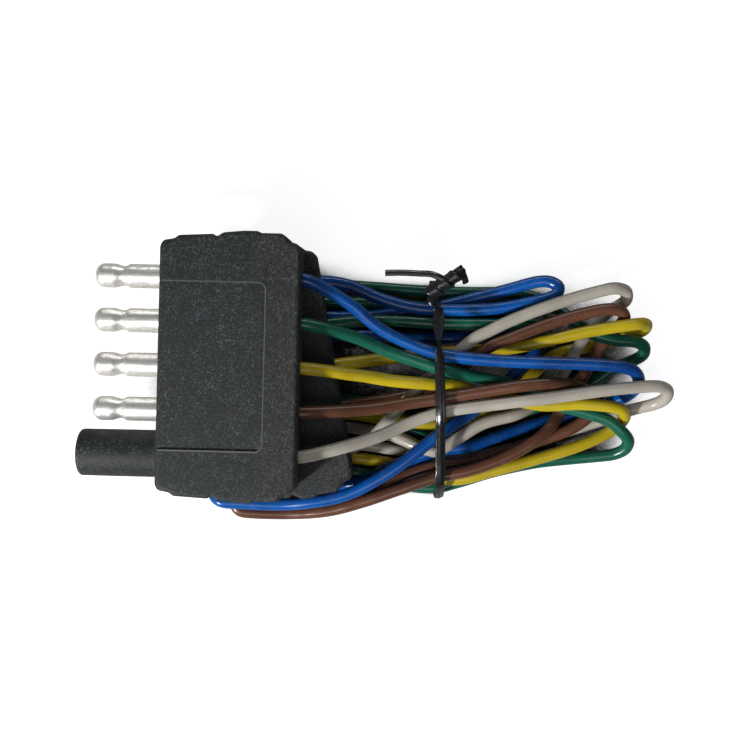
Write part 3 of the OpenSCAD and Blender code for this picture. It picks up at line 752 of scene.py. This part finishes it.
def overmould(plug):
    """The moulded body with its shrouds, recessed panel and open holes, in plug coordinates."""
    body = body_shell(plug)
    for place in plug.shrouds:
        cut(body, shroud_solid(plug, place * plug.pitch), "UNION")
    cut(body, panel_ridge(plug), "UNION")
    face = plug.thick / 2
    outline = rounded_panel(plug.length - PANEL_BACK, PANEL_HALF, PANEL_R)
    top = plug.outer_face
    cut(body, prism("panel", outline, top * (face - PANEL_DEPTH), top * (face + 1)))
    for place in TERMINAL_PLACES:
        y = place * plug.pitch
        cut(body, round_tool("bore", terminal_hole(plug, place in plug.shrouds), y))
        cut(body, round_tool("lead", lead_hole(plug), y))
    return body


def ridge_zone(plug, co):
    """Which points lie on the fine ridge: just outside the panel's outline."""
    x_end = plug.length - PANEL_BACK
    dx = co[:, 0] - (x_end - PANEL_R)
    dy = np.abs(co[:, 1]) - (PANEL_HALF - PANEL_R)
    out = np.where((dx > 0) & (dy > 0), np.hypot(dx, dy), np.maximum(dx, dy)) - PANEL_R
    high = np.abs(co[:, 2]) > plug.thick / 2 - 0.01
    return high & (out > -0.05) & (out < 2 * RIDGE + 0.05)


def finished_overmould(plug):
    """The body in its place, with its rear band marked for the material and its ridge marked for a painted
    highlight.
    """
    body = overmould(plug)
    body.name = plug.name + "_plug_moulding"
    co = np.array([v.co for v in body.data.vertices], float)
    band = np.clip((co[:, 0] - (plug.length - PANEL_BACK)) / 1.2, 0, 1)
    on_ridge = ridge_zone(plug, co)
    # faces of the ridge, which the material paints with a highlight
    ridge = np.array([on_ridge[list(p.vertices)].all() for p in body.data.polygons])
    body.data.transform(plug.matrix())
    for name, domain, values in (("rear_band", "POINT", band), ("ridge", "FACE", ridge)):
        attribute = body.data.attributes.new(name, "FLOAT", domain)
        attribute.data.foreach_set("value", values.astype(np.float32))
    shade(body, 32)
    weighted(body)
    dress(body, "black_moulding")
    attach(body, plug.body)
    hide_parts(plug.name + "_overmould")


# ---------- terminals ----------

ROOT_R = 2.15
COLLAR_R = 3.1
COLLAR_FROM = 6.5
COLLAR_TO = 7.5
CRIMP_R = 2.0
CRIMP_BORE_R = 1.0
CRIMP_FROM = 11.7
CRIMP_FLOOR = 12.5    # where the core's hole in the crimp ends
CRIMP_TO = 17.0
NOSE_R = 2.6          # a pin, from its tip: nose, waist, shoulder, shank
NOSE_LEN = 2.0
NOSE_END = 3.9
WAIST_R = 2.12
WAIST_AT = 6.1
SHANK_R = 2.6
SHANK_FROM = 7.5
DENT = 0.07           # size of the dents in a pin
CONTACT_BORE_R = 2.55
CONTACT_R = 3.27
CONTACT_END = 2.6     # how far behind the front face a socket contact's tube ends
CONTACT_SET_BACK = 0.8  # from its shroud's mouth to its own
SLIT_HALF = 0.4       # half the width of its slit
SLIT_END = -4.6


def terminal_tail_profile():
    """Behind the mating face: root, collar held by the carrier, and the crimp barrel."""
    collar = [(COLLAR_FROM, ROOT_R), (COLLAR_FROM, COLLAR_R), (COLLAR_TO, COLLAR_R), (COLLAR_TO, ROOT_R)]
    crimp = [(CRIMP_FROM - 0.5, ROOT_R), (CRIMP_FROM, CRIMP_R), (CRIMP_TO, CRIMP_R)]
    core_hole = [(CRIMP_TO, CRIMP_BORE_R), (CRIMP_FLOOR, CRIMP_BORE_R), (CRIMP_FLOOR, 0)]
    return [(3.0, ROOT_R)] + collar + crimp + core_hole


def dented(seed, amount):
    """Radius change for a lathe: shallow dents and a faint out-of-round."""
    def wobble(x, a, r):
        where = Vector((x * 0.9, math.cos(a) * r, math.sin(a) * r))
        soft = noise.noise(where * 0.45 + Vector((seed * 7.3, 0, 0))) * 0.5
        pit = noise.noise(where * 1.7 + Vector((0, seed * 5.1, 0)))
        pit = -max(0.0, pit - 0.28) * 1.2
        return amount * (soft + pit) if x < -0.6 else 0.0
    return wobble


def pin_profile(plug):
    """Rounded nose with a small flat, long soft waist, small shoulder, straight shank."""
    tip = -plug.pin_out
    flat_r = 0.6
    pts = [(tip, 0)]
    for a in np.linspace(0, math.pi / 2, 12):
        pts.append((tip + NOSE_LEN * (1 - math.cos(a)), flat_r + (NOSE_R - flat_r) * math.sin(a)))
    pts += [(tip + x, NOSE_R) for x in np.linspace(NOSE_LEN, NOSE_END, 6)[1:]]
    for t in np.linspace(0, 1, 12)[1:]:
        x = tip + NOSE_END + (WAIST_AT - NOSE_END) * t
        pts.append((x, NOSE_R + (WAIST_R - NOSE_R) * smooth_step(t)))
    shoulder = [(1.1, WAIST_R + 0.02), (0.7, WAIST_R + 0.15), (0.4, SHANK_R - 0.15), (0.25, SHANK_R - 0.03)]
    pts += [(tip + SHANK_FROM - before, r) for before, r in shoulder]
    pts.append((tip + SHANK_FROM, SHANK_R))
    pts += [(x, SHANK_R) for x in np.linspace(tip + SHANK_FROM + 0.5, -0.9, 12)]
    pts += [(0.6, SHANK_R), (0.9, ROOT_R)]
    return pts + terminal_tail_profile()


def put_in_place(obj, plug, name, place):
    """Moves a terminal made on the plug's middle line to its place, and finishes it."""
    obj.data.transform(Matrix.Translation((0, place * plug.pitch, 0)))
    obj.data.transform(plug.matrix())
    shade(obj, 40)
    dress(obj, "tinned_terminal")
    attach(obj, plug.body)
    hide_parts(name)


def pin(plug, name, place, seed):
    """A bare bullet pin at a terminal place; seed picks its dents."""
    verts, faces = lathe(pin_profile(plug), 64, dented(seed, DENT))
    obj = mesh_object(name + "_bullet", verts, faces)
    fixed_normals(obj)
    put_in_place(obj, plug, name, place)


def socket(plug, name, place):
    """A slit tube in front of the body and the same root and crimp behind."""
    mouth = -plug.reach + CONTACT_SET_BACK
    floor_at = CONTACT_END - 0.4
    profile = [(floor_at, 0), (floor_at, CONTACT_BORE_R), (mouth + 0.25, CONTACT_BORE_R)]
    profile += [(mouth, CONTACT_BORE_R + 0.22), (mouth, CONTACT_R - 0.15), (mouth + 0.2, CONTACT_R)]
    profile += [(CONTACT_END, CONTACT_R), (CONTACT_END, ROOT_R)]
    profile += terminal_tail_profile()
    verts, faces = lathe(profile, 64)
    obj = mesh_object(name + "_contact", verts, faces)
    fixed_normals(obj)
    slit = mesh_object("slit", *box_mesh((mouth - 1, -SLIT_HALF, 0.2), (SLIT_END, SLIT_HALF, 5)))
    cut(obj, slit)
    put_in_place(obj, plug, name, place)


def box_mesh(low, high):
    """Vertices and faces of a box between two corners."""
    (x0, y0, z0), (x1, y1, z1) = low, high
    verts = [(x, y, z) for x in (x0, x1) for y in (y0, y1) for z in (z0, z1)]
    faces = [(0, 1, 3, 2), (4, 6, 7, 5), (0, 4, 5, 1), (2, 3, 7, 6), (0, 2, 6, 4), (1, 5, 7, 3)]
    return verts, faces


# ---------- wires ----------

STEP = 0.55 * MM
SIDES = 22
CORE_SIDES = 10
CORE_R = 0.7
BORE_R = 0.8
WIRE_SHARP = 50        # edges of a wire or of the tie sharper than this many degrees stay sharp
UNEVEN = 0.012         # share by which the insulation's radius varies
INSULATION_FROM = 17.3  # how deep behind the mating face a lead's insulation starts
REACH_BEND = 8.0       # how far from each fold line, on the hank's side, a wire is cut into another length


def insulation(name, colour, path, norms):
    """A length of insulation: a tube with a wall and a slightly uneven skin."""
    outer_r = WIRE_R * MM * (1 + bumpy(path, UNEVEN, 6 * MM, 3.7))
    outer = [ring_of(r, SIDES) for r in outer_r]
    inner = [ring_of(BORE_R * MM, SIDES)] * len(path)
    verts, faces = hollow(path, outer, inner, norms)
    return dress(mesh_object(name, verts, faces, WIRE_SHARP), "pvc_" + colour)


def core(path, norms):
    """Vertices and faces of a length of conductor."""
    return swept(path, [ring_of(CORE_R * MM, CORE_SIDES)] * len(path), norms)


def strands(name, cores):
    """One object of several lengths of conductor."""
    return dress(mesh_object(name, *joined(cores), WIRE_SHARP), "copper_core")


def with_low_x_first(line):
    """The same line, turned round if it runs towards -X."""
    return line if line[0][0] < line[-1][0] else line[::-1]


def wire_paths():
    """For each colour: upper lead, hank and lower lead as one smooth line with the two fold points."""
    upper = sorted(centre_lines("upper_lead_cores"), key=lambda p: -p[:, 1].max())
    lower = sorted(centre_lines("lower_lead_cores"), key=lambda p: -p[:, 1].max())
    out = {}
    for colour, up_line, low_line in zip(COLOURS, upper, lower):
        hank = centre_lines("hank_core_" + colour)[0]
        up_line = with_low_x_first(up_line)
        low_line = with_low_x_first(low_line)
        if np.linalg.norm(hank[0] - up_line[-1]) > np.linalg.norm(hank[-1] - up_line[-1]):
            hank = hank[::-1]
        fold_a = (up_line[-1] + hank[0]) / 2
        fold_b = (hank[-1] + low_line[-1]) / 2
        path = np.vstack([up_line[:-1], [fold_a], hank[1:-1], [fold_b], low_line[::-1][1:]])
        smooth = spline(path, STEP)
        along = length_along(smooth)
        s_a = along[np.argmin(np.linalg.norm(smooth[:len(smooth) // 4] - fold_a, axis=1))]
        tail = len(smooth) * 3 // 4
        s_b = along[tail + np.argmin(np.linalg.norm(smooth[tail:] - fold_b, axis=1))]
        out[colour] = (smooth, s_a, s_b)
    return out


def cut_wire(smooth, s_a, s_b):
    """Pieces between the cuts, each with the normals of the whole wire so that their rings meet."""
    norms = carried_normals(tangents(smooth))
    along = length_along(smooth)
    cuts = [0, s_a, s_a + REACH_BEND * MM, s_b - REACH_BEND * MM, along[-1]]
    ids = [int(np.argmin(abs(along - c))) for c in cuts]
    return [(smooth[a:b + 1], norms[a:b + 1]) for a, b in zip(ids, ids[1:])]


UPPER = Plug("upper")
LOWER = Plug("lower")


def trimmed(path, norms, plug):
    """Drops the part of a lead that lies too deep in the plug to have insulation."""
    keep = plug.local(path)[:, 0] >= INSULATION_FROM
    return path[keep], norms[keep]


def bend_upper_lead(obj):
    """Bakes the placement of a length of upper lead, which ends just in front of the fold line, into its
    mesh.
    """
    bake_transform(obj)


def bend_hank_start(obj):
    """Bakes the placement of the start of the hank, just behind the fold line, into its mesh."""
    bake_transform(obj)


def bend_lower_lead(obj):
    """Bakes the placement of a lower lead, behind the lower plug, into its mesh."""
    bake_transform(obj)


def wires():
    """Five wires, each in four lengths: upper lead, start of the hank, hank and lower lead."""
    lead_cores, start_cores, low_cores = [], [], []
    for colour, (smooth, s_a, s_b) in wire_paths().items():
        lead, start, run, low = cut_wire(smooth, s_a, s_b)
        obj = insulation("upper_lead_%s_insulation" % colour, colour, *trimmed(*lead, UPPER))
        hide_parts("upper_lead_" + colour)
        bend_upper_lead(obj)

        obj = insulation("hank_start_%s_insulation" % colour, colour, *start)
        bend_hank_start(obj)

        obj = insulation("hank_wire_%s_insulation" % colour, colour, *run)
        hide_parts("hank_wire_" + colour)
        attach(obj, "hank")

        obj = insulation("lower_lead_%s_insulation" % colour, colour, *trimmed(*low, LOWER))
        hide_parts("lower_lead_" + colour)
        bend_lower_lead(obj)

        obj = strands("hank_core_%s_strands" % colour, [core(*run)])
        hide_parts("hank_core_" + colour)
        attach(obj, "hank")
        lead_cores.append(core(*lead))
        start_cores.append(core(*start))
        low_cores.append(core(*low))

    obj = strands("upper_lead_strands", lead_cores)
    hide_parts("upper_lead_cores")
    bend_upper_lead(obj)
    bend_hank_start(strands("hank_start_strands", start_cores))
    obj = strands("lower_lead_strands", low_cores)
    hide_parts("lower_lead_cores")
    bend_lower_lead(obj)


# ---------- twist tie ----------

TIE_STEP = 0.25 * MM
TIE_W = 2.2            # width
TIE_T = 0.8            # thickness over the steel wire
TIE_WING = 0.4         # thickness of the wings beside it
TAIL_RINGS = 4         # rings of the frame's tie: in its tail,
STRAND_RINGS = 13      # in one strand of the knot,
END_RINGS = 2          # and in its short end
TURN_RINGS = 8         # rings in one turn of the knot
KNOT_TURNS = 3.1
KNOT_R = 1.2
CARRIED = 1e-7         # scale of normals carried through a spline beside the points
LATE_TURN = 0.6        # how far along the knot the tail leaves it
SHORT_END = 3.2        # length of the narrower short end
TIE_ROUGH = 0.06       # share by which the ribbon's width varies


def tie_frame():
    """The frame's tie as tail, loop, short end, and the two ends of the knot's axis."""
    line = with_low_x_first(centre_lines("tie_core")[0])
    strand = line[-STRAND_RINGS - END_RINGS:-END_RINGS]
    half = TURN_RINGS // 2
    axis = [(strand[i] + strand[i + half]) / 2 for i in range(len(strand) - half)]
    along = (axis[-1] - axis[0]) / (len(axis) - 1)
    root = axis[0] - along * half / 2
    tip = axis[-1] + along * half / 2
    first = int(np.argmin([np.linalg.norm(p - root) for p in line[:len(line) // 2]]))
    loop = line[first + 1:-STRAND_RINGS - END_RINGS]
    start = strand[0] - root
    return line[:TAIL_RINGS], loop, line[-END_RINGS:], root, tip, start / np.linalg.norm(start)


def helix(root, tip, side, phase, s0, s1):
    """One strand of the knot between two shares of its length: points, and the way out from its axis."""
    axis = (tip - root) / np.linalg.norm(tip - root)
    side = side - (side @ axis) * axis
    side = side / np.linalg.norm(side)
    other = np.cross(axis, side)
    n = max(8, int(abs(s1 - s0) * KNOT_TURNS * 28))
    points, outward = [], []
    for s in np.linspace(s0, s1, n):
        a = phase + 2 * math.pi * KNOT_TURNS * s
        out = math.cos(a) * side + math.sin(a) * other
        r = KNOT_R * (1 + 0.12 * math.sin(5.3 * s + phase)) * MM
        points.append(root + (tip - root) * s + r * out)
        outward.append(out)
    return np.array(points), np.array(outward)


def tie_section(w, t, wing):
    """Ribbon with a bulge over its wire, thin wings and round edges, in metres."""
    upper = []
    for x in np.linspace(-0.5, 0.5, 15):
        bulge = wing + (t - wing) * math.exp(-(x * w / 0.42) ** 2)
        edge = math.sqrt(max(0.0, 1 - (2 * abs(x)) ** 8))
        upper.append((x * w, bulge / 2 * edge))
    lower = [(x, -z) for x, z in reversed(upper[1:-1])]
    return np.array(upper + lower) * MM


def tie_path():
    """Centre line, broad-face normals and widths of the ribbon from its tail to its short end."""
    tail, loop, short, root, tip, side = tie_frame()
    strand_a, out_a = helix(root, tip, side, math.pi, LATE_TURN, 0.0)
    strand_b, out_b = helix(root, tip, side, 0.0, 0.0, 1.0)
    middle = loop.mean(0)
    loop_out = loop - middle
    loop_out[:, 0] = 0
    up = np.array((0, 0.25, 1.0))
    points = np.vstack([tail, strand_a, loop, strand_b, short])
    faces = np.vstack([[up] * len(tail), out_a, loop_out, out_b, [up] * len(short)])
    faces = faces / np.linalg.norm(faces, axis=1)[:, None]
    both = spline(np.hstack([points, faces * CARRIED]), TIE_STEP)
    path, normals = both[:, :3], both[:, 3:] / CARRIED
    marks = length_along(points)
    at = length_along(path) * marks[-1] / length_along(path)[-1]
    loop_from = marks[len(tail) + len(strand_a)]
    tail_to = marks[len(tail)]
    end_from = marks[-1] - SHORT_END * MM
    knots = ((tail_to, loop_from), (marks[-1 - len(short) - len(strand_b)], marks[-len(short)]))
    turn, width, thick, wing = [], [], [], []
    for s in at:
        # It turns over once after the knot, is narrower at both ends and flat in and beside the knot.
        d = (s - loop_from) / MM
        turn.append(math.pi * smooth_step((d - 3.0) / 11.0) + 0.25 * math.sin(max(0.0, d) * 0.11))
        is_tail = 1 - smooth_step((s - tail_to + 2 * MM) / (3 * MM))
        is_end = smooth_step((s - end_from) / (1.5 * MM))
        lens = math.exp(-((d - 3.5) / 3.0) ** 2)
        knot = sum(smooth_step((s - a) / MM) * smooth_step((b - s) / MM) for a, b in knots)
        width.append(TIE_W * (1 - 0.32 * is_tail - 0.3 * is_end + 0.12 * lens + 0.22 * knot))
        thick.append(TIE_T * (1 + 0.3 * is_tail))
        plain = TIE_WING + 0.24 * is_tail
        wing.append(plain + (0.9 * TIE_T - plain) * min(1.0, knot + lens))
    return path, normals, turn, width, thick, wing


def twist_tie():
    """The ribbon of the tie in one piece, from its tail round the hank and the knot to its short end."""
    path, normals, turn, width, thick, wing = tie_path()
    tans = tangents(path)
    flat = []
    for t, n, a in zip(tans, normals, turn):
        n = n - (n @ t) * t
        n = n / np.linalg.norm(n)
        wide = np.cross(n, t)
        flat.append(math.cos(a) * wide + math.sin(a) * n)
    flat = np.array(flat)
    sections = []
    rough = bumpy(path, TIE_ROUGH, 1.6 * MM, 8.1)
    for w, t, side, extra in zip(width, thick, wing, rough):
        sections.append(tie_section(w * (1 + extra), t, side))
    verts, faces = swept(path, sections, flat)
    obj = mesh_object("twist_tie_ribbon", verts, faces, WIRE_SHARP)
    fixed_normals(obj)
    shade(obj, WIRE_SHARP)
    dress(obj, "tie_plastic")
    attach(obj, "hank")
    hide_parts("tie_ribbon", "tie_core")


# ---------- stage ----------

FLOOR_HALF = 4.0       # metres
FLOOR_DROP = 0.05      # millimetres below the rest plane
FLOOR_SHOWN = 0.88     # how bright the camera sees the open floor
COVER_REACH = 25       # how far, in millimetres, the painted shade round the object reaches across the floor
WORLD_LIGHT = 0.08
WORLD_SHOWN = 0.9
CAMERA_BEHIND = 15.9   # camera behind the upper plug's rear face
CAMERA_SIDE = -1.0
CAMERA_HEIGHT = 231.8
CAMERA_TURN = 1.4
CAMERA_LENS = 47.0


def floor():
    """Pale paper. Seen directly it glows near white, lit evenly, and is painted dark as shade only where
    the object closes over it; in reflections it is grey, as a darker room would be."""
    half = FLOOR_HALF
    corners = [(-half, -half, 0), (half, -half, 0), (half, half, 0), (-half, half, 0)]
    plane = mesh_object("floor", corners, [(0, 1, 2, 3)])
    plane.location.z = -FLOOR_DROP * MM
    m = Nodes("floor_paper")
    tone = m.remap(m.noise(300, 2), 0, 1, 0.97, 1.0)
    seen = m.add("ShaderNodeLightPath").outputs["Is Camera Ray"]
    cover = m.add("ShaderNodeAmbientOcclusion", samples=16)
    cover.inputs["Distance"].default_value = COVER_REACH * MM
    # painted shade: seen by the camera, the floor is painted dark where ambient occlusion finds the object
    # close over it
    clear_of_painted_shade = m.remap(cover.outputs["AO"], 0.38, 0.58)
    shown = m.mix(clear_of_painted_shade, (0.03, 0.03, 0.028), (0.4, 0.4, 0.4))
    colour = m.mix(seen, (0.4, 0.39, 0.38), shown)
    plane.data.materials.append(m.finish(colour, tone))
    m.set(Specular_IOR_Level=0.0, Emission_Color=(1, 1, 1, 1))
    # the floor's glow fades out under the painted shade as well
    glow = m.math("MULTIPLY", m.math("MULTIPLY", clear_of_painted_shade, seen), FLOOR_SHOWN)
    m.link(glow, m.bsdf.inputs["Emission Strength"])


def area_light(name, place, target, size, size_y, power):
    """A rectangular light in metres and watts, turned towards its target."""
    data = bpy.data.lights.new(name, "AREA")
    data.shape = "RECTANGLE"
    data.size = size
    data.size_y = size_y
    data.energy = power
    light = bpy.data.objects.new(name, data)
    bpy.context.scene.collection.objects.link(light)
    light.location = place
    light.rotation_euler = (target - place).to_track_quat("-Z", "Y").to_euler()


def lights():
    """A small key from the left and the near side, a broad weak light overhead, and a strip low at the
    back that draws the thin highlight along each wire."""
    middle = Vector(((cad_low.x + cad_high.x) / 2, (cad_low.y + cad_high.y) / 2, 0))
    area_light("key", middle + Vector((-0.47, -0.4, 0.42)), middle, 0.08, 0.08, 6.8)
    area_light("top", middle + Vector((-0.05, -0.3, 0.6)), middle, 0.5, 0.4, 1.15)
    area_light("strip", middle + Vector((0.05, 0.62, 0.2)), middle, 0.6, 0.05, 1.1)


def pale_world():
    """A weak cool light from all round that the camera sees as a pale backdrop."""
    world = bpy.data.worlds.new("studio")
    world.use_nodes = True
    background = world.node_tree.nodes["Background"]
    background.inputs["Color"].default_value = (0.85, 0.94, 1, 1)
    strength = world.node_tree.nodes.new("ShaderNodeMapRange")
    strength.inputs["To Min"].default_value = WORLD_LIGHT
    strength.inputs["To Max"].default_value = WORLD_SHOWN
    seen = world.node_tree.nodes.new("ShaderNodeLightPath").outputs["Is Camera Ray"]
    world.node_tree.links.new(seen, strength.inputs["Value"])
    world.node_tree.links.new(strength.outputs["Result"], background.inputs["Strength"])
    bpy.context.scene.world = world


def camera():
    """Straight down and turned a little, over the wires just behind the upper plug."""
    data = bpy.data.cameras.new("camera")
    data.lens = CAMERA_LENS
    data.sensor_width = 36
    data.clip_start = 0.01
    cam = bpy.data.objects.new("camera", data)
    bpy.context.scene.collection.objects.link(cam)
    x = UPPER.origin.x + (UPPER.length + CAMERA_BEHIND) * MM
    cam.location = (x, UPPER.origin.y + CAMERA_SIDE * MM, CAMERA_HEIGHT * MM)
    cam.rotation_euler = (0, 0, math.radians(CAMERA_TURN))
    bpy.context.scene.camera = cam


# ---------- build ----------

def terminals():
    """Four pins face four sockets, and the fifth place has its pin and socket the other way round."""
    for number, (colour, place) in enumerate(zip(COLOURS[:4], TERMINAL_PLACES)):
        pin(UPPER, "upper_pin_" + colour, place, number + 1)
        socket(LOWER, "lower_socket_" + colour, place)
    pin(LOWER, "lower_pin_white", TERMINAL_PLACES[4], 9)
    socket(UPPER, "upper_socket_white", TERMINAL_PLACES[4])


def carried_over_nodes():
    """The frame's own nodes that are still shown get the materials of their slots."""
    slots = {part["node"]: part["material_slot"] for part in frame["record"]["subparts"]}
    for name, obj in frame["nodes"].items():
        if not obj.hide_render:
            dress(obj, slots[name])


finished_overmould(UPPER)
finished_overmould(LOWER)
terminals()
wires()
twist_tie()
carried_over_nodes()
floor()
lights()
pale_world()
camera()
bpy.context.scene.view_settings.view_transform = "Standard"
